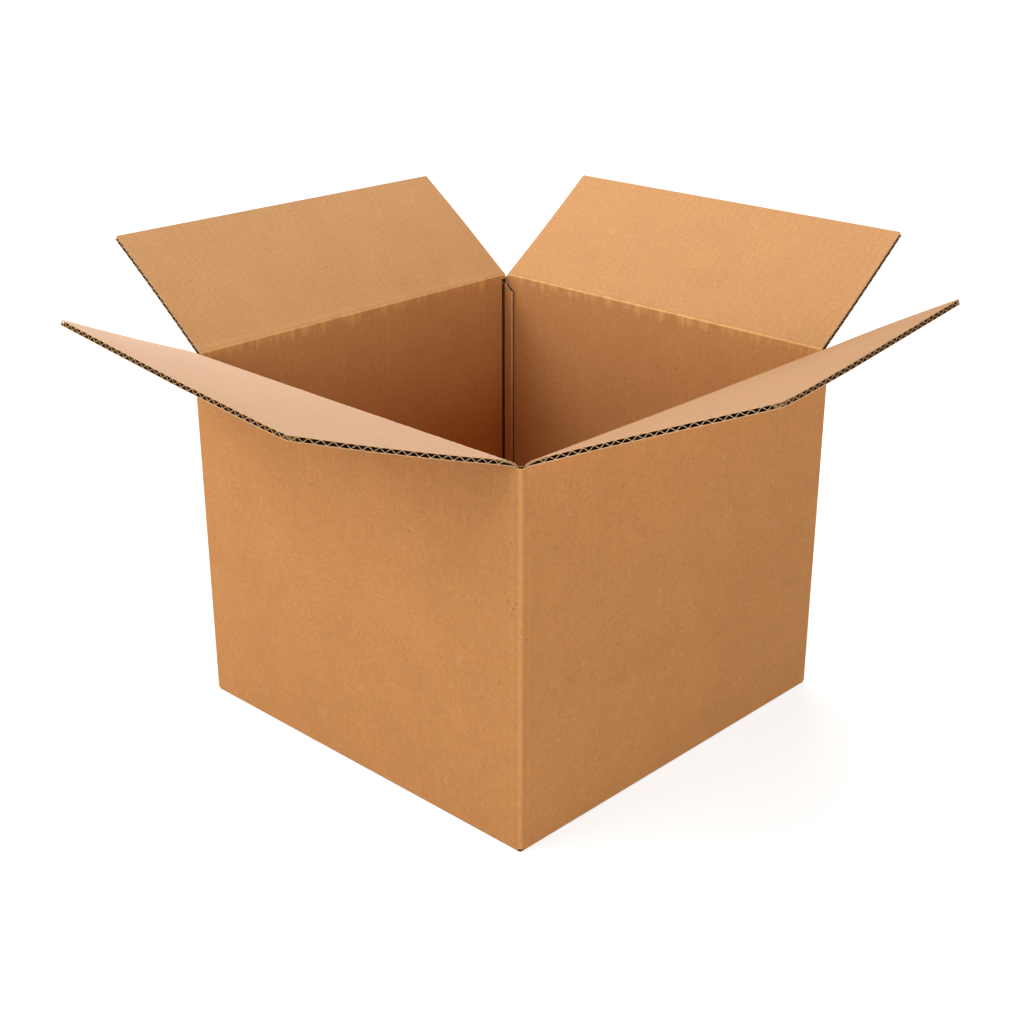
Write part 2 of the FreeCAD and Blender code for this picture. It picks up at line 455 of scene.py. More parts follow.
def bottom_seam(wall, shell):
    """How far out from the box's middle a bottom flap's free edge lies."""
    shift = {"front": -shell.seam_shift, "back": shell.seam_shift}.get(wall, 0.0)
    return shift + shell.seam_gap / 2


def bottom_fold(out, up, radius, steps=5):
    """Rounded fold up into the wall, as (distance out, height, is_flap)."""
    turns = [i / steps * math.pi / 2 for i in range(steps + 1)]
    return [(out + radius * math.sin(a), up - radius * math.cos(a), False) for a in turns]


def bottom_profile(wall, shell, board, outer):
    """Seam to wall: (distance out, height, is_flap) of the bottom flap and its fold."""
    half = shell_high.x
    line = half - board.thickness
    over = wall in ("front", "back")
    seam = bottom_seam(wall, shell)

    def flap(end, height, steps=14):
        return [(seam + (end - seam) * i / steps, height, True) for i in range(steps + 1)]
    if not outer:
        radius = shell.fold_inside
        top = board.thickness if over else 2 * board.thickness + shell.joint_film
        return flap(line - radius, top)[:-1] + bottom_fold(line - radius, top + radius, radius)
    radius = shell.bottom_radius
    fold = bottom_fold(half - radius, radius, radius)
    edge = line + 0.0002
    if over:
        under = [(edge, 0.0, False), (half - radius - 0.0008, 0.0, False)]
        return flap(line - SIDE_GAP, 0.0) + under + fold
    # The left and right flaps lie on the other two, so their folds step down beside them
    low = board.thickness + shell.joint_film
    step = [(edge - 0.0016, low, True), (edge - 0.0004, low - 0.0004, False),
            (edge, low - 0.0014, False), (edge, 0.0012, False),
            (edge + 0.0003, 0.0003, False), (edge + 0.0011, 0.0, False)]
    return flap(line - SIDE_GAP, low)[:-1] + step + fold


def corner_runs(sheet, reach):
    """Runs of stations round the vertical folds, where no top flap continues the wall."""
    run = []
    for column, place in sheet:
        across = column[1].x if column[3] in ("front", "back") else column[1].y
        if column[3] == "fold" or abs(across) >= reach:
            run.append((column, place))
            continue
        if len(run) > 1:
            yield run
        run = []


def tab_rows(shell, board, outer, last, levels, high):
    """Rows of the glue tab, from the last fold of the walls to its free edge."""
    side = 0 if outer else 1
    low, top = levels[0], levels[-1]
    rows = []
    for z in levels:
        row = [last[side] + UP * min(z, high)]
        for station in tab_columns(shell, board):
            bottom, above = tab_range(shell, station[2], low, high)
            row.append(station[side] + UP * (bottom + (z - low) / (top - low) * (above - bottom)))
        rows.append(row)
    return rows


def bottom_rows(shell, board, outer, wall, columns, low):
    """Rows of one bottom flap, from its free edge to the foot of its wall."""
    side = 0 if outer else 1
    outward = columns[0][2]
    limit = shell_high.x - board.thickness - SIDE_GAP
    ends = [c[side] - outward * c[side].dot(outward) for c in columns]
    direction = (ends[-1] - ends[0]).normalized()
    first, last = ends[0].dot(direction), ends[-1].dot(direction)
    rows = []
    for distance, height, is_flap in bottom_profile(wall, shell, board, outer):
        row = []
        for point in ends:
            place = point.dot(direction)
            if is_flap:
                share = (place - first) / (last - first)
                place = -limit + 2 * limit * share
            row.append(direction * place + outward * distance + UP * height)
        rows.append(row)
    if low > height + 1e-7:
        rows.append([c[side] + outward * wall_relief(shell, c, low, outer) + UP * low
                     for c in columns])
    return rows


def skin_of_walls(shell, board, outer):
    """The outer or the inner liner of walls, tab and bottom as one welded skin."""
    skin = Skin()
    columns = wall_columns(shell, board)
    flaps = bpy.context.scene.box_flaps
    side = 0 if outer else 1
    low = shell.slot_height if outer else 2 * board.thickness + shell.joint_film + shell.fold_inside
    soft_top = flaps.crease_height - flaps.soft_drop
    far_top = flaps.crease_height - flaps.far_drop
    levels = heights(low, shell_high.z)
    path, total = [0.0], 0.0
    for a, b in zip(columns, columns[1:]):
        total += (b[0] - a[0]).length
        path.append(total)
    sheet = list(zip(columns, path))

    def raise_walls(chosen, some_levels, **look):
        rows = [[c[side] + c[2] * wall_relief(shell, c, z, outer) + UP * z for c, place in chosen]
                for z in some_levels]
        skin.strip(rows, [place for c, place in chosen], **look)

    # Painted highlight on the inside of the walls just below the creases
    def painted_highlight(some_levels):
        return [CREASE_HIGHLIGHT_BESIDE * max(0.0, 1.0 - (far_top - z) / 0.016) for z in some_levels]
    if outer:
        raise_walls(sheet, levels, turned=True)
    else:
        levels = sorted(set(levels) | {soft_top, far_top})
        lower = [z for z in levels if z <= soft_top]
        between = [z for z in levels if soft_top <= z <= far_top]
        raise_walls(sheet, lower, ridge=painted_highlight(lower))
        for wall in ("back", "left"):
            raise_walls([pair for pair in sheet if pair[0][3] == wall], between, ridge=painted_highlight(between))
        for run in corner_runs(sheet, shell_high.x - flaps.inset - 1e-5):
            raise_walls(run, [z for z in levels if z >= soft_top])
    rows = tab_rows(shell, board, outer, columns[-1], levels, shell_high.z if outer else soft_top)
    skin.strip(rows, [total + 0.001 * i for i in range(len(rows[0]))], turned=outer)
    for wall in SIDES:
        chosen = [(c, place) for c, place in sheet if c[3] == wall and c[4]]
        rows = bottom_rows(shell, board, outer, wall, [c for c, place in chosen], low)
        skin.strip(rows, [place for c, place in chosen], turned=outer)
    return skin


def skin_of_tab_edge(shell, board):
    """The wavy paper cut lengthwise at the glue tab's free edge."""
    skin = Skin()
    low, high = tab_range(shell, 1.0, 0.0, 0.0)
    edge = -shell_high.x + board.thickness + shell.tab_reach - 0.0004
    face = shell_high.x - 2 * board.thickness - shell.joint_film
    steps = 60
    rows = []
    for i in range(steps + 1):
        z = low + (high - low) * i / steps
        row = []
        for share in (0.06, 0.3, 0.55, 0.72):
            rough = 0.0002 * wander(z, share, 31.0, 0.006)
            row.append(Vector((edge + rough - 0.0006 * share, face + board.thickness * share, z)))
        rows.append(row)
    skin.strip(rows, [0.0] * 4, turned=True)
    return skin


def painted_shade_in_tab_cleft(shell, board):
    """Painted shade: a dark sheet inside the deep pressed line between the left wall and the tab."""
    skin = Skin()
    corner = Vector((-shell_high.x + board.thickness + shell.tab_fold,
                     shell_high.x - 2 * board.thickness - shell.joint_film - shell.tab_fold, 0))
    deep = Vector((-1, 1, 0)).normalized()
    wide = Vector((1, 1, 0)).normalized()
    foot, rise, steps = 0.016, 0.268, 30
    rows = []
    for i in range(steps + 1):
        z = foot + rise * i / steps
        rows.append([corner + deep * (0.0023 - 0.0003 * math.cos(share * math.pi))
                     + wide * 0.0019 * share + UP * z for share in (-1.0, -0.5, 0.0, 0.5, 1.0)])
    skin.strip(rows, [0.0] * 5)
    return skin


def painted_shade_in_slots():
    """Painted shade: dark sheets seen through the small cuts at the four bottom corners."""
    skin = Skin()
    near, nose, far = (shell_high.x - inset for inset in (0.0008, 0.0015, 0.0042))
    for x, y in ((1, -1), (1, 1), (-1, 1), (-1, -1)):
        a = Vector((x * far, y * near, 0))
        b = Vector((x * near, y * far, 0))
        middle = Vector((x * nose, y * nose, 0))
        rows = [[p + UP * z for p in (a, middle, b)] for z in (0.0003, 0.0015, 0.0028)]
        skin.strip(rows, [0.0] * 3)
    return skin


def waves_of_walls(shell, board):
    """Wavy paper at the wall tops, the tab's ends and the bottom seams."""
    skin = Skin()
    columns = wall_columns(shell, board)
    t = board.thickness
    top = shell_high.z
    for wall in SIDES:
        chosen = [c for c in columns if c[3] == wall]
        outward, first = chosen[0][2], chosen[0][1]
        line = chosen[-1][1] - first
        direction = line.normalized()

        def wall_place(s, inward, n, first=first, direction=direction, outward=outward):
            return first + direction * s + outward * (t - n) + UP * (top - 0.006 - inward)
        add_waves(skin, board, line.length, wall_place, (False, False), seed=len(wall))
    limit = shell_high.x - t - SIDE_GAP
    for name in SIDES:
        outward = SIDES[name][0]
        direction = outward.cross(UP)
        low = 0.0 if name in ("front", "back") else t + shell.joint_film
        seam = bottom_seam(name, shell)

        def seam_place(s, inward, n, direction=direction, outward=outward, low=low, seam=seam):
            return direction * (s - limit) + outward * (seam + inward) + UP * (low + n)
        add_waves(skin, board, 2 * limit, seam_place, seed=3.0 + len(name))
        reach = limit - seam
        for sign in (-1, 1):
            def side_place(s, inward, n, sign=sign, direction=direction, outward=outward,
                           low=low, seam=seam):
                return direction * sign * (limit - inward) + outward * (seam + s) + UP * (low + n)
            add_waves(skin, board, reach, side_place, (True, False), seed=sign * 2.0 + len(name))
    return skin


# Top flaps and their creases
def crease_sizes(flaps, name):
    """Inside of a crease: width on the flap, drop on the wall, board left at the pressed line."""
    if name in ("back", "left"):
        return flaps.far_start, flaps.far_drop, flaps.far_pinch
    return flaps.soft_start, flaps.soft_drop, flaps.pinch


def flap_twist(flaps, name, u):
    """Extra opening of the flap, in degrees, at a place along its crease."""
    low, high = flap_ends(flaps, name, flaps.depth)
    if name == "front":
        near, far, near_place, far_place = flaps.front_droop, -flaps.front_lift, low, high
    elif name == "right":
        near, far, near_place, far_place = flaps.right_droop, -flaps.right_lift, high, low
    else:
        return 0.0
    share = (u - far_place) / (near_place - far_place)
    soft = 0.85
    if share > soft:
        share = soft + (1 - soft) * math.tanh((share - soft) / (1 - soft))
    return far + (near - far) * share


def flap_frame(flaps, name, u):
    """Origin, along, away and inward directions at a place along the crease."""
    outward, angle, gap = SIDES[name][:3]
    turn = math.radians(angle + flap_twist(flaps, name, u))
    along = outward.cross(UP)
    away = outward * math.sin(turn) + UP * math.cos(turn)
    inward = UP * math.sin(turn) - outward * math.cos(turn)
    origin = outward * (shell_high.x + gap) + UP * flaps.crease_height
    return origin, along, away, inward, turn


def flap_point(flaps, name, u, v, n):
    """A point of a flap: along the crease, away from it, and through the board."""
    origin, along, away, inward, turn = flap_frame(flaps, name, u)
    base = math.radians(SIDES[name][1])
    reach = v
    if turn > base:
        reach = v * math.sin(base) / math.sin(turn)
    past = v - flaps.start
    bend = flaps.bow * math.sin(math.pi * min(1.0, v / flaps.depth))
    bend *= min(1.0, max(0.0, past / 0.02)) * (-1.0 if name in ("right", "left") else 1.0)
    rough = 0.00022 * wander(u, v, 3.3 + len(name), 0.09)
    rough *= min(1.0, max(0.0, past / 0.03)) * min(1.0, max(0.0, (flaps.depth - v) / 0.015))
    return origin + along * u + away * reach + inward * (n - bend * 0.6 + rough)


def flap_ends(flaps, name, v):
    """Both ends of the flap at a distance from its crease."""
    low, high = SIDES[name][3:]
    side = shell_high.x - flaps.inset
    return -side + low * v / flaps.depth, side - high * v / flaps.depth


def flap_skin(flaps, name, n, outer):
    """The outer or the inner liner of a flap's stiff panel."""
    skin = Skin()
    start = flaps.start if outer else crease_sizes(flaps, name)[0]
    steps = 16
    depths = [start + (flaps.depth - start) * i / steps for i in range(steps + 1)]
    shares = spread(0.0, 1.0, [0.004, 0.01, 0.02, 0.04], 1 / 44)
    rows = []
    for v in depths:
        low, high = flap_ends(flaps, name, v)
        rows.append([flap_point(flaps, name, low + (high - low) * s, v, n) for s in shares])
    side = shell_high.x - flaps.inset
    skin.strip(rows, [side * 2 * s for s in shares], turned=outer)
    return skin


def flap_waves(flaps, board, name):
    """Waves along the free edge and both sides of a flap."""
    skin = Skin()
    low_end, high_end = flap_ends(flaps, name, flaps.depth)
    low_start, high_start = flap_ends(flaps, name, flaps.start)

    def free_edge(s, inward, n):
        return flap_point(flaps, name, low_end + s, flaps.depth - inward, n)
    add_waves(skin, board, high_end - low_end, free_edge, seed=11.0 + len(name))
    for start, end, sign in ((low_start, low_end, 1.0), (high_start, high_end, -1.0)):
        run = end - start
        rise = flaps.depth - flaps.start
        length = math.hypot(run, rise)
        du, dv = run / length, rise / length

        def side_edge(s, inward, n, start=start, sign=sign, du=du, dv=dv):
            u = start + du * s + sign * dv * inward
            v = max(flaps.start + 0.0003, flaps.start + dv * s - sign * du * inward)
            return flap_point(flaps, name, u, v, n)
        add_waves(skin, board, length, side_edge, (False, True), seed=17.0 * sign + len(name))
    close_flap(skin, flaps, board, name)
    return skin


def close_flap(skin, flaps, board, name):
    """Ribs behind the waves and across the free corners, so that no light shows through."""
    clear = 0.0002
    levels = (board.liner + clear, board.thickness / 2, board.thickness - board.liner - clear)
    inner = board.wave_depth + 0.0012

    def rib(places):
        skin.strip([[flap_point(flaps, name, u, v, n) for u, v in places] for n in levels],
                   [0.0] * len(places))
    ends = ((0, 1.0), (1, -1.0))
    for index, sign in ends:
        run = flaps.depth - 0.001 - flaps.soft_start
        depths = [flaps.soft_start + run * i / 12 for i in range(13)]
        rib([(flap_ends(flaps, name, v)[index] + sign * inner, v) for v in depths])
    low, high = flap_ends(flaps, name, flaps.depth)
    rib([(low + inner + (high - low - 2 * inner) * i / 30, flaps.depth - inner) for i in range(31)])
    margin = 0.0004
    for cut in (0.0014, 0.0042):
        for index, sign in ends:
            shares = [i / 8 for i in range(9)]
            depths = [flaps.depth - margin - cut * (1 - share) for share in shares]
            rib([(flap_ends(flaps, name, v)[index] + sign * (margin + cut * share), v)
                 for v, share in zip(depths, shares)])


def cubic(a, b, c, d, k):
    """A place on the curve from a to d that b and c pull on."""
    return a * (1 - k) ** 3 + b * 3 * k * (1 - k) ** 2 + c * 3 * k * k * (1 - k) + d * k ** 3


def crease_outside(flaps, origin, pivot, away):
    """Cross-section of the rounded outside of a crease."""
    start = pivot + UP * (shell_high.z - flaps.crease_height)
    middle = pivot + (origin - pivot) * 0.5
    first = origin + away * 0.0012
    shares = [i / OUTSIDE_STEPS for i in range(OUTSIDE_STEPS + 1)]
    points = [start * (1 - k) ** 2 + middle * 2 * k * (1 - k) + first * k * k for k in shares]
    return points + [origin + away * v for v in (0.0020, 0.0030, 0.0038, flaps.start)]


def crease_profile(flaps, name, u, outer, board, layer=0.0):
    """Cross-section of a crease: from the wall's top edge to the start of the stiff panel."""
    origin, along, away, _, turn = flap_frame(flaps, name, u)
    outward, angle = SIDES[name][:2]
    pivot = outward * shell_high.x + UP * flaps.crease_height
    place = along * u
    if outer:
        return [place + p for p in crease_outside(flaps, origin, pivot, away)]
    ruffle = flaps.crush * (wander(u, 0.0, 21.0 + len(name), 0.014)
                            + 0.5 * math.cos(2 * math.pi * u / board.pitch))
    soft_start, soft_drop, pinch = crease_sizes(flaps, name)
    grow = soft_start / 0.0095
    low = pivot - outward * board.thickness - UP * soft_drop
    high = flap_point(flaps, name, u, soft_start, board.thickness) - place
    halfway = math.radians(angle) / 2
    squeeze = -outward * math.cos(halfway) + UP * math.sin(halfway)
    lean = outward * math.sin(halfway) + UP * math.cos(halfway)
    waist = pivot + (origin - pivot) * 0.5 + squeeze * (pinch + ruffle)
    below = (low, low + UP * 0.0030 * grow, waist - lean * 0.0024 * grow, waist)
    above = (waist, waist + lean * 0.0028 * grow, high - away * 0.0040 * grow, high)
    points = [cubic(*below, i / INSIDE_STEPS) for i in range(INSIDE_STEPS + 1)]
    points += [cubic(*above, i / INSIDE_STEPS) for i in range(1, INSIDE_STEPS + 1)]
    if layer:
        bends = [turn * i / (2 * INSIDE_STEPS) for i in range(len(points))]
        points = [p + (outward * math.cos(bend) - UP * math.sin(bend)) * layer
                  for p, bend in zip(points, bends)]
    return [place + p for p in points]


def crease_skin(flaps, board, name, outer, layer=0.0):
    """One side of a crease as a skin; a layer above 0 gives the wavy paper behind it."""
    skin = Skin()
    low, high = flap_ends(flaps, name, 0.0)
    start = flaps.start if outer else crease_sizes(flaps, name)[0]
    far_low, far_high = flap_ends(flaps, name, start)
    count = 280
    stations = [low + (high - low) * i / count for i in range(count + 1)]
    columns = [crease_profile(flaps, name, u, outer, board, layer) for u in stations]
    along = SIDES[name][0].cross(UP)
    pressed = OUTSIDE_STEPS if outer else INSIDE_STEPS
    rows = []
    for r in range(len(columns[0])):
        share = max(0.0, (r - pressed) / (len(columns[0]) - 1 - pressed))
        row = []
        for u, line in zip(stations, columns):
            target = far_low + (far_high - far_low) * (u - low) / (high - low)
            row.append(line[r] + along * (target - u) * share)
        rows.append(row)
    ridge = None
    # Painted highlight along the pressed line and on the wall side below it, standing in for light
    # caught by the crease
    if not outer and not layer:
        ridge = [math.exp(-((r - pressed) / 2.2) ** 2) for r in range(len(rows))]
        ridge = [max(CREASE_HIGHLIGHT_BESIDE, level) if r <= pressed else level for r, level in enumerate(ridge)]
    skin.strip(rows, [u - low for u in stations], turned=outer, ridge=ridge)
    return skin


# Finishes
def node_group(name, inputs, outputs):
    """A new shader node group: its tree, node maker, input and output nodes, and place."""
    tree = bpy.data.node_groups.new(name, "ShaderNodeTree")
    for title, kind, default in inputs:
        made = tree.interface.new_socket(name=title, in_out="INPUT", socket_type=kind)
        made.default_value = default
    for title, kind in outputs:
        tree.interface.new_socket(name=title, in_out="OUTPUT", socket_type=kind)
    b = Nodes(tree)
    place = b.node("ShaderNodeTexCoord").outputs["Object"]
    return tree, b, b.node("NodeGroupInput"), b.node("NodeGroupOutput"), place


class Nodes:
    """Short ways to add and join nodes in one tree."""

    def __init__(self, tree):
        self.tree = tree

    def node(self, kind, **values):
        made = self.tree.nodes.new(kind)
        for key, value in values.items():
            setattr(made, key, value)
        return made

    def join(self, a, b):
        self.tree.links.new(a, b)

    def maths(self, operation, a, b=None, clamp=False):
        made = self.node("ShaderNodeMath", operation=operation, use_clamp=clamp)
        for index, value in enumerate((a, b)):
            if value is None:
                continue
            if isinstance(value, (int, float)):
                made.inputs[index].default_value = value
            else:
                self.join(value, made.inputs[index])
        return made.outputs[0]

    def noise(self, place, scale, detail, rough=0.5, stretch=None):
        if stretch:
            shaped = self.node("ShaderNodeMapping")
            shaped.inputs["Scale"].default_value = stretch
            self.join(place, shaped.inputs["Vector"])
            place = shaped.outputs[0]
        made = self.node("ShaderNodeTexNoise")
        made.inputs["Scale"].default_value = scale
        made.inputs["Detail"].default_value = detail
        made.inputs["Roughness"].default_value = rough
        self.join(place, made.inputs["Vector"])
        return made.outputs["Fac"]

    def ramp(self, value, low, high, out_low=0.0, out_high=1.0):
        made = self.node("ShaderNodeMapRange", clamp=True)
        made.inputs["From Min"].default_value = low
        made.inputs["From Max"].default_value = high
        made.inputs["To Min"].default_value = out_low
        made.inputs["To Max"].default_value = out_high
        self.join(value, made.inputs["Value"])
        return made.outputs["Result"]

    def mix(self, factor, a, b, blend="MIX"):
        made = self.node("ShaderNodeMix", data_type="RGBA", blend_type=blend)
        for index, value in ((0, factor), (6, a), (7, b)):
            if isinstance(value, (int, float)):
                made.inputs[index].default_value = value
            elif isinstance(value, (tuple, list)):
                made.inputs[index].default_value = (*value[:3], 1.0)
            else:
                self.join(value, made.inputs[index])
        return made.outputs[2]


def paper_group():
    """Kraft paper: cloudy mottling, fine fibres and dark and light flecks."""
    tree, b, inputs, outputs, place = node_group(
        "Kraft paper",
        (("Colour", "NodeSocketColor", (0.5, 0.3, 0.1, 1)), ("Mottle", "NodeSocketFloat", 1.0),
         ("Flecks", "NodeSocketFloat", 1.0)),
        (("Colour", "NodeSocketColor"), ("Height", "NodeSocketFloat")))
    cloud = b.noise(place, 26.0, 4.0, 0.62)
    patch = b.noise(place, 7.0, 2.0, 0.5)
    grain = b.noise(place, 420.0, 3.0, 0.7)
    fine = b.noise(place, 1400.0, 2.0, 0.6)
    level = b.maths("MULTIPLY", b.maths("SUBTRACT", cloud, 0.5), 0.20)
    for layer, strength in ((patch, 0.07), (grain, 0.46), (fine, 0.30)):
        level = b.maths("ADD", level, b.maths("MULTIPLY", b.maths("SUBTRACT", layer, 0.5), strength))
    level = b.maths("ADD", b.maths("MULTIPLY", level, inputs.outputs["Mottle"]), 1.0)
    shade = b.node("ShaderNodeVectorMath", operation="SCALE")
    b.join(inputs.outputs["Colour"], shade.inputs[0])
    b.join(level, shade.inputs["Scale"])
    fibre = b.node("ShaderNodeTexVoronoi", feature="DISTANCE_TO_EDGE")
    fibre.inputs["Scale"].default_value = 210.0
    warp = b.node("ShaderNodeVectorMath", operation="MULTIPLY_ADD")
    b.join(b.node("ShaderNodeTexNoise").outputs["Color"], warp.inputs[0])
    warp.inputs[1].default_value = (0.012, 0.012, 0.012)
    b.join(place, warp.inputs[2])
    b.join(warp.outputs[0], fibre.inputs["Vector"])
    strands = b.ramp(fibre.outputs["Distance"], 0.0, 0.035, 1.0, 0.0)
    strand_area = b.ramp(b.noise(place, 95.0, 2.0), 0.56, 0.70)
    strands = b.maths("MULTIPLY", strands, strand_area)
    strands = b.maths("MULTIPLY", strands, inputs.outputs["Flecks"])
    dark = b.node("ShaderNodeTexVoronoi", feature="F1")
    dark.inputs["Scale"].default_value = 130.0
    b.join(place, dark.inputs["Vector"])
    speck = b.ramp(dark.outputs["Distance"], 0.07, 0.16, 1.0, 0.0)
    speck = b.maths("MULTIPLY", speck, b.ramp(b.noise(place, 60.0, 1.0), 0.60, 0.66))
    speck = b.maths("MULTIPLY", speck, inputs.outputs["Flecks"])
    lighter = b.mix(b.maths("MULTIPLY", strands, 0.32), shade.outputs[0], (0.80, 0.56, 0.34))
    darker = b.mix(b.maths("MULTIPLY", speck, 0.38), lighter, (0.20, 0.085, 0.03))
    b.join(darker, outputs.inputs["Colour"])
    height = b.maths("ADD", b.maths("MULTIPLY", grain, 0.6), b.maths("MULTIPLY", cloud, 0.8))
    height = b.maths("ADD", height, b.maths("MULTIPLY", strands, 0.3))
    b.join(height, outputs.inputs["Height"])
    return tree


def washboard_group():
    """Faint lines where the flutes show through the liner."""
    tree, b, inputs, outputs, place = node_group(
        "Flute lines", (("Pitch", "NodeSocketFloat", 0.0074),), (("Lines", "NodeSocketFloat"),))
    along = b.node("ShaderNodeAttribute", attribute_name="flute_place").outputs["Fac"]
    drift = b.maths("MULTIPLY", b.noise(place, 20.0, 2.0), 0.0020)
    turns = b.maths("DIVIDE", b.maths("ADD", along, drift), inputs.outputs["Pitch"])
    wave = b.maths("COSINE", b.maths("MULTIPLY", turns, 2 * math.pi))
    strength = b.ramp(b.noise(place, 16.0, 2.0), 0.35, 0.70, 0.25, 1.0)
    b.join(b.maths("MULTIPLY", wave, strength), outputs.inputs["Lines"])
    return tree


def fold_highlight_group():
    """Painted highlight along the box's four vertical folds, standing in for light caught by the
    rounded folds.
    """
    tree, b, inputs, outputs, place = node_group(
        "Painted fold highlight", (("Half width", "NodeSocketFloat", 0.175),), (("Mask", "NodeSocketFloat"),))
    apart = b.node("ShaderNodeSeparateXYZ")
    b.join(place, apart.inputs[0])
    sides = []
    for axis in "XY":
        reach = b.maths("ABSOLUTE", apart.outputs[axis])
        edge = b.maths("SUBTRACT", inputs.outputs["Half width"], reach)
        sides.append(b.ramp(edge, 0.0004, 0.0024, 1.0, 0.0))
    both = b.maths("MULTIPLY", sides[0], sides[1])
    patchy = b.ramp(b.noise(place, 70.0, 3.0), 0.30, 0.60, 0.45, 1.0)
    b.join(b.maths("MULTIPLY", b.maths("POWER", both, 0.5), patchy), outputs.inputs["Mask"])
    return tree


def paper_finish(name, colour, groups, pitch, mottle, flecks, roughness, bump,
                 lines=0.0, line_tint=0.0, specular=0.35, sheen=0.0, painted_highlight=0.0, ridged=0.0):
    """One paper material, from the groups for paper, flute lines and the painted highlight on the
    vertical folds, with an optional painted highlight along the creases.
    """
    material = bpy.data.materials.new(name)
    material.use_nodes = True
    tree = material.node_tree
    tree.nodes.clear()
    b = Nodes(tree)
    out = b.node("ShaderNodeOutputMaterial")
    shader = b.node("ShaderNodeBsdfPrincipled")
    b.join(shader.outputs[0], out.inputs["Surface"])
    paper = b.node("ShaderNodeGroup", node_tree=groups[0])
    paper.inputs["Colour"].default_value = (*colour, 1.0)
    paper.inputs["Mottle"].default_value = mottle
    paper.inputs["Flecks"].default_value = flecks
    tint = paper.outputs["Colour"]
    height = paper.outputs["Height"]
    if lines > 0:
        flute = b.node("ShaderNodeGroup", node_tree=groups[1])
        flute.inputs["Pitch"].default_value = pitch
        darker = b.ramp(flute.outputs["Lines"], -1.0, 1.0, 0.0, line_tint)
        tint = b.mix(darker, tint, tuple(c * 0.62 for c in colour))
        height = b.maths("ADD", height, b.maths("MULTIPLY", flute.outputs["Lines"], lines))
    # Painted highlight on the four vertical folds: the fold mask mixes in a lighter colour, standing in
    # for light caught by the rounded folds
    if painted_highlight > 0:
        fold_highlight = b.node("ShaderNodeGroup", node_tree=groups[2])
        fold_highlight.inputs["Half width"].default_value = shell_high.x
        light = tuple(min(0.86, c * 1.34) for c in colour)
        tint = b.mix(b.maths("MULTIPLY", fold_highlight.outputs["Mask"], painted_highlight), tint, light)
    # Painted highlight along the creases, from the crease highlight attribute, broken into streaks
    if ridged > 0:
        crease_highlight_mask = b.node("ShaderNodeAttribute", attribute_name="ridge").outputs["Fac"]
        place = b.node("ShaderNodeTexCoord").outputs["Object"]
        streak = b.noise(place, 190.0, 2.0, 0.5, (1.0, 1.0, 0.06))
        crease_highlight_mask = b.maths("ADD", crease_highlight_mask, b.maths("MULTIPLY", b.maths("SUBTRACT", streak, 0.5), 0.9))
        crease_highlight_mask = b.maths("MULTIPLY", b.ramp(crease_highlight_mask, 0.42, 0.95), ridged)
        tint = b.mix(crease_highlight_mask, tint, tuple(min(0.90, c * 1.75) for c in colour))
    b.join(tint, shader.inputs["Base Color"])
    shader.inputs["Roughness"].default_value = roughness
    shader.inputs["Specular IOR Level"].default_value = specular
    shader.inputs["Sheen Weight"].default_value = sheen
    shader.inputs["Sheen Roughness"].default_value = 0.35
    shader.inputs["Sheen Tint"].default_value = (1.0, 0.92, 0.86, 1.0)
    dent = b.node("ShaderNodeBump")
    dent.inputs["Strength"].default_value = bump
    dent.inputs["Distance"].default_value = 0.0002
    b.join(height, dent.inputs["Height"])
    b.join(dent.outputs[0], shader.inputs["Normal"])
    return material


def finishes():
    """The paper materials, made once, in the order of the places named at the top."""
    colours = bpy.context.scene.box_finish
    inside = dict(mottle=1.0, flecks=0.3, roughness=0.9, bump=0.30)
    papers = {
        "Outer liner": (colours.outer, dict(mottle=1.05, flecks=1.3, roughness=0.66, bump=0.22,
                                            lines=0.25, line_tint=0.04, specular=0.20, painted_highlight=0.7)),
        "Inner liner": (colours.inner, dict(mottle=0.90, flecks=1.3, roughness=0.60, bump=0.22,
                                            lines=0.60, line_tint=0.09, specular=0.12, sheen=0.52,
                                            ridged=1.0)),
        "Cut edge": (colours.cut, dict(mottle=1.4, flecks=0.3, roughness=0.85, bump=0.45)),
        "Medium": (colours.medium, inside),
        # Painted shade, a dark colour for the unlit backs of the liners and for shaded hollows
        "Painted shade": (colours.back, inside),
    }
    if all(name in bpy.data.materials for name in papers):
        return [bpy.data.materials[name] for name in papers]
    pitch = bpy.context.scene.box_board.pitch
    groups = (paper_group(), washboard_group(), fold_highlight_group())
    return [paper_finish(name, tuple(colour), groups, pitch, **look)
            for name, (colour, look) in papers.items()]


def glue_finish():
    """Dried adhesive, cloudy and a little shiny."""
    colours = bpy.context.scene.box_finish
    material = bpy.data.materials.new("Dried glue")
    material.use_nodes = True
    b = Nodes(material.node_tree)
    shader = material.node_tree.nodes["Principled BSDF"]
    place = b.node("ShaderNodeTexCoord").outputs["Object"]
    cloud = b.noise(place, 120.0, 3.0)
    dull = tuple(c * 0.7 for c in colours.glue)
    tint = b.mix(b.ramp(cloud, 0.35, 0.65), tuple(colours.glue), dull)
    b.join(tint, shader.inputs["Base Color"])
    b.join(b.ramp(cloud, 0.3, 0.7, 0.25, 0.5), shader.inputs["Roughness"])
    dent = b.node("ShaderNodeBump")
    dent.inputs["Strength"].default_value = 0.4
    dent.inputs["Distance"].default_value = 0.0003
    b.join(cloud, dent.inputs["Height"])
    b.join(dent.outputs[0], shader.inputs["Normal"])
    return material


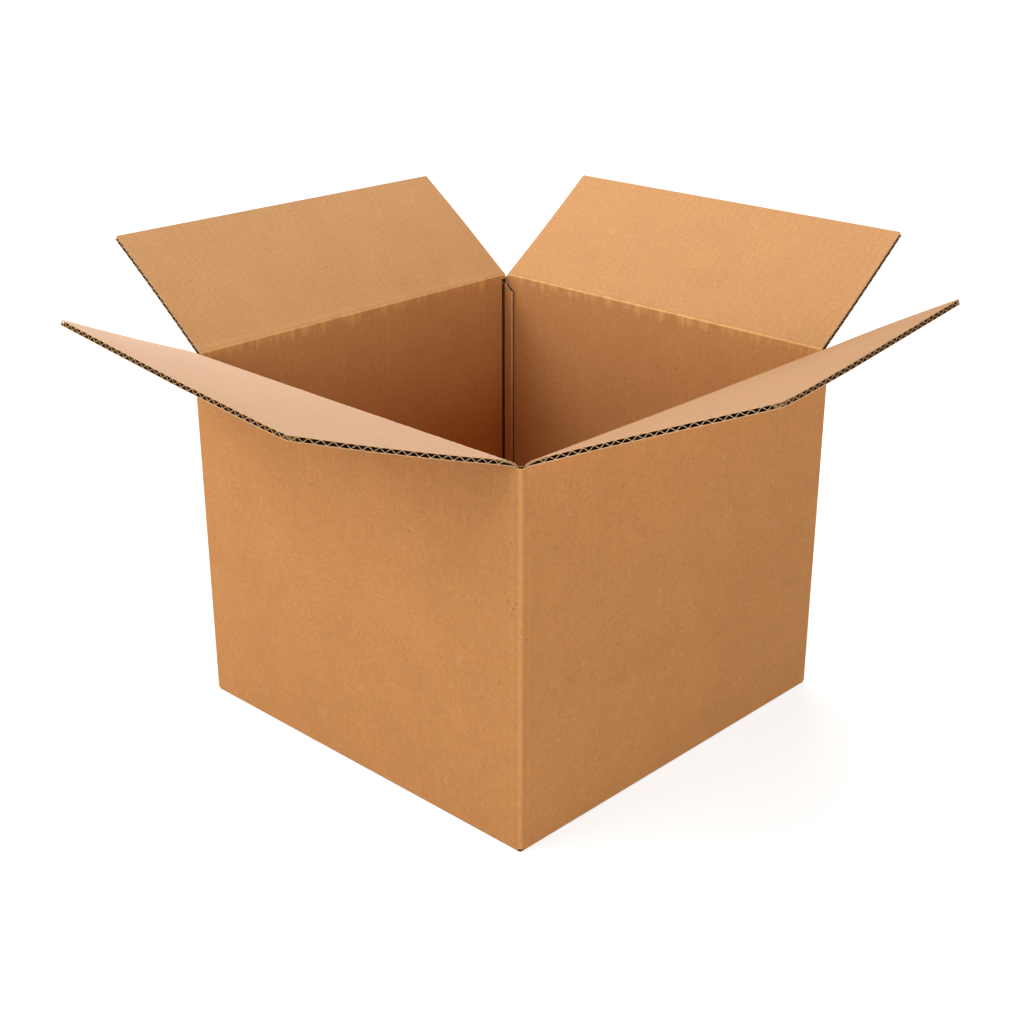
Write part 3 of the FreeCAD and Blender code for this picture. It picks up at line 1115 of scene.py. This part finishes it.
# Operators
class BOX_OT_shell(Operator):
    """Build the walls, glue tab and bottom flaps"""
    bl_idname = "box.make_shell"
    bl_label = "Walls and bottom"

    def execute(self, context):
        shell, board = context.scene.box_shell, context.scene.box_board
        layers = [
            (skin_of_walls(shell, board, True), board.liner, INWARD, OUTER, CUT, PAINTED_SHADE),
            (skin_of_walls(shell, board, False), board.liner, INWARD, INNER, CUT, PAINTED_SHADE),
            (waves_of_walls(shell, board), board.medium, CENTRED, MEDIUM, CUT, MEDIUM),
            (skin_of_tab_edge(shell, board), board.medium, CENTRED, CUT, CUT, CUT),
            (painted_shade_in_tab_cleft(shell, board), board.medium, CENTRED, PAINTED_SHADE, PAINTED_SHADE, PAINTED_SHADE),
            (painted_shade_in_slots(), board.medium, CENTRED, PAINTED_SHADE, PAINTED_SHADE, PAINTED_SHADE),
        ]
        piece = board_piece("box_shell", layers, finishes())
        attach(piece, "box")
        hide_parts("box_body")
        return {"FINISHED"}


class BOX_OT_flaps(Operator):
    """Build the stiff panels of the four top flaps"""
    bl_idname = "box.make_flaps"
    bl_label = "Top flaps"

    def execute(self, context):
        flaps, board = context.scene.box_flaps, context.scene.box_board
        for name in SIDES:
            layers = [
                (flap_skin(flaps, name, 0.0, True), board.liner, INWARD, OUTER, CUT, PAINTED_SHADE),
                (flap_skin(flaps, name, board.thickness, False), board.liner, INWARD, INNER, CUT, PAINTED_SHADE),
                (flap_waves(flaps, board, name), board.medium, CENTRED, MEDIUM, CUT, MEDIUM),
            ]
            piece = board_piece(name + "_flap_board", layers, finishes())
            if name == "front":
                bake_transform(piece)
            else:
                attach(piece, name + "_top_flap")
            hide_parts(name + "_flap")
        return {"FINISHED"}


class BOX_OT_creases(Operator):
    """Build the pressed creases that join the flaps to the walls"""
    bl_idname = "box.make_creases"
    bl_label = "Creases"

    def execute(self, context):
        flaps, board = context.scene.box_flaps, context.scene.box_board
        for name in SIDES:
            outward, angle = SIDES[name][:2]
            behind = 0.0009
            outside = board_piece(name + "_crease_outside", [
                (crease_skin(flaps, board, name, True), board.liner, INWARD, OUTER, CUT, PAINTED_SHADE),
            ], finishes())
            inside = board_piece(name + "_crease_inside", [
                (crease_skin(flaps, board, name, False), board.liner, INWARD, INNER, CUT, PAINTED_SHADE),
                (crease_skin(flaps, board, name, False, behind), board.medium, INWARD,
                 MEDIUM, CUT, MEDIUM),
            ], finishes())
            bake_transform(outside)
            hinge = Vector(JOINTS[name])
            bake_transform(inside)
        return {"FINISHED"}


class BOX_OT_glue(Operator):
    """Finish the adhesive of the corner joint and the bottom"""
    bl_idname = "box.finish_glue"
    bl_label = "Adhesive"

    def execute(self, context):
        material = glue_finish()
        for name in ("joint_glue", "bottom_glue_left", "bottom_glue_right"):
            solids = frame["nodes"][name]
            for solid in solids if isinstance(solids, list) else [solids]:
                solid.data.materials.clear()
                solid.data.materials.append(material)
        return {"FINISHED"}


def lamp(name, place, target_height, size, power):
    """A rectangular area lamp that looks at the box's axis."""
    data = bpy.data.lights.new(name, "AREA")
    data.shape = "RECTANGLE"
    data.size, data.size_y = size
    data.energy = power
    made = bpy.data.objects.new(name, data)
    made.location = place
    made.rotation_mode = "QUATERNION"
    aim = Vector((0, 0, target_height)) - Vector(place)
    made.rotation_quaternion = aim.to_track_quat("-Z", "Y")
    bpy.context.scene.collection.objects.link(made)


def make_floor(studio):
    """White floor whose own light evens out the white near the box."""
    size, below = studio.floor_size, -0.0004
    mesh = bpy.data.meshes.new("floor")
    corners = [(x * size, y * size, below) for x, y in ((-1, -1), (1, -1), (1, 1), (-1, 1))]
    mesh.from_pydata(corners, [], [(0, 1, 2, 3)])
    floor = bpy.data.objects.new("floor", mesh)
    bpy.context.scene.collection.objects.link(floor)
    material = bpy.data.materials.new("White floor")
    material.use_nodes = True
    tree = material.node_tree
    tree.nodes.clear()
    b = Nodes(tree)
    paint = b.node("ShaderNodeBsdfDiffuse")
    paint.inputs["Color"].default_value = (0.42, 0.42, 0.42, 1)
    rays = b.node("ShaderNodeLightPath").outputs
    seen = b.maths("MAXIMUM", rays["Is Camera Ray"], rays["Is Glossy Ray"])
    away = b.node("ShaderNodeVectorMath", operation="LENGTH")
    b.join(b.node("ShaderNodeTexCoord").outputs["Object"], away.inputs[0])
    level = b.ramp(away.outputs["Value"], 0.35, 1.6, studio.floor_glow, 1.0)
    glow = b.node("ShaderNodeEmission")
    b.join(b.maths("MULTIPLY", seen, level), glow.inputs["Strength"])
    both = b.node("ShaderNodeAddShader")
    b.join(paint.outputs[0], both.inputs[0])
    b.join(glow.outputs[0], both.inputs[1])
    b.join(both.outputs[0], b.node("ShaderNodeOutputMaterial").inputs["Surface"])
    mesh.materials.append(material)


def make_surround(studio):
    """World that is white to look at but gives little light."""
    world = bpy.data.worlds.new("White surround")
    bpy.context.scene.world = world
    world.use_nodes = True
    tree = world.node_tree
    tree.nodes.clear()
    b = Nodes(tree)
    sky = b.node("ShaderNodeBackground")
    sky.inputs["Color"].default_value = (1.0, 1.0, 1.0, 1.0)
    rays = b.node("ShaderNodeLightPath").outputs
    seen = b.maths("MAXIMUM", rays["Is Camera Ray"], rays["Is Glossy Ray"])
    seen = b.maths("MAXIMUM", seen, rays["Is Transmission Ray"])
    strength = b.maths("ADD", b.maths("MULTIPLY", seen, 1.0 - studio.sky), studio.sky)
    b.join(strength, sky.inputs["Strength"])
    b.join(sky.outputs[0], b.node("ShaderNodeOutputWorld").inputs["Surface"])


def make_camera(studio):
    """Camera on a circle round the box's middle, at the photograph's viewing angle."""
    data = bpy.data.cameras.new("Camera")
    data.lens = studio.lens
    data.sensor_width = 36.0
    camera = bpy.data.objects.new("Camera", data)
    bpy.context.scene.collection.objects.link(camera)
    a, e = math.radians(studio.azimuth), math.radians(studio.elevation)
    back = Vector((math.sin(a) * math.cos(e), -math.cos(a) * math.cos(e), math.sin(e)))
    right = Vector((math.cos(a), math.sin(a), 0))
    above = back.cross(right)
    middle = Vector((0, 0, 0.145))
    place = middle + right * studio.aim_right + above * studio.aim_up + back * studio.distance
    turn = Matrix((right, above, back)).transposed().to_4x4()
    camera.matrix_world = Matrix.Translation(place) @ turn
    bpy.context.scene.camera = camera


class BOX_OT_stage(Operator):
    """Make the floor, lamps, white surround and camera"""
    bl_idname = "box.make_stage"
    bl_label = "Floor, lamps and camera"

    def execute(self, context):
        studio = context.scene.box_studio
        make_floor(studio)
        make_surround(studio)
        lamp("Key low", (-0.9, -2.2, 0.75), 0.15, (1.8, 0.9), studio.key_low)
        lamp("Key high", (-0.8, -1.8, 1.7), 0.15, (1.6, 1.2), studio.key_high)
        lamp("Side", (2.25, -0.8, 0.7), 0.15, (1.5, 0.9), studio.side)
        lamp("Top", (-0.95, 0.75, 2.0), 0.3, (1.6, 1.6), studio.top)
        make_camera(studio)
        context.scene.view_settings.view_transform = "Standard"
        return {"FINISHED"}


class BOX_PT_panel(Panel):
    """Lists the operators and the settings in the sidebar"""
    bl_label = "Open cardboard box"
    bl_space_type = "VIEW_3D"
    bl_region_type = "UI"
    bl_category = "Box"

    def draw(self, context):
        layout = self.layout
        scene = context.scene
        for operator in (BOX_OT_shell, BOX_OT_flaps, BOX_OT_creases, BOX_OT_glue, BOX_OT_stage):
            layout.operator(operator.bl_idname)
        for name in GROUPS:
            group = getattr(scene, name)
            box = layout.box()
            for key in group.__annotations__:
                box.prop(group, key)


CLASSES = (BoardSettings, ShellSettings, FlapSettings, FinishSettings, StudioSettings,
           BOX_OT_shell, BOX_OT_flaps, BOX_OT_creases, BOX_OT_glue, BOX_OT_stage, BOX_PT_panel)
GROUPS = {"box_board": BoardSettings, "box_shell": ShellSettings, "box_flaps": FlapSettings,
          "box_finish": FinishSettings, "box_studio": StudioSettings}


def register():
    for kind in CLASSES:
        bpy.utils.register_class(kind)
    for name, kind in GROUPS.items():
        setattr(bpy.types.Scene, name, PointerProperty(type=kind))


def unregister():
    for name in GROUPS:
        delattr(bpy.types.Scene, name)
    for kind in reversed(CLASSES):
        bpy.utils.unregister_class(kind)


def main():
    register()
    bpy.ops.box.make_stage()
    bpy.ops.box.make_shell()
    bpy.ops.box.make_flaps()
    bpy.ops.box.make_creases()
    bpy.ops.box.finish_glue()


if __name__ == "__main__":
    main()
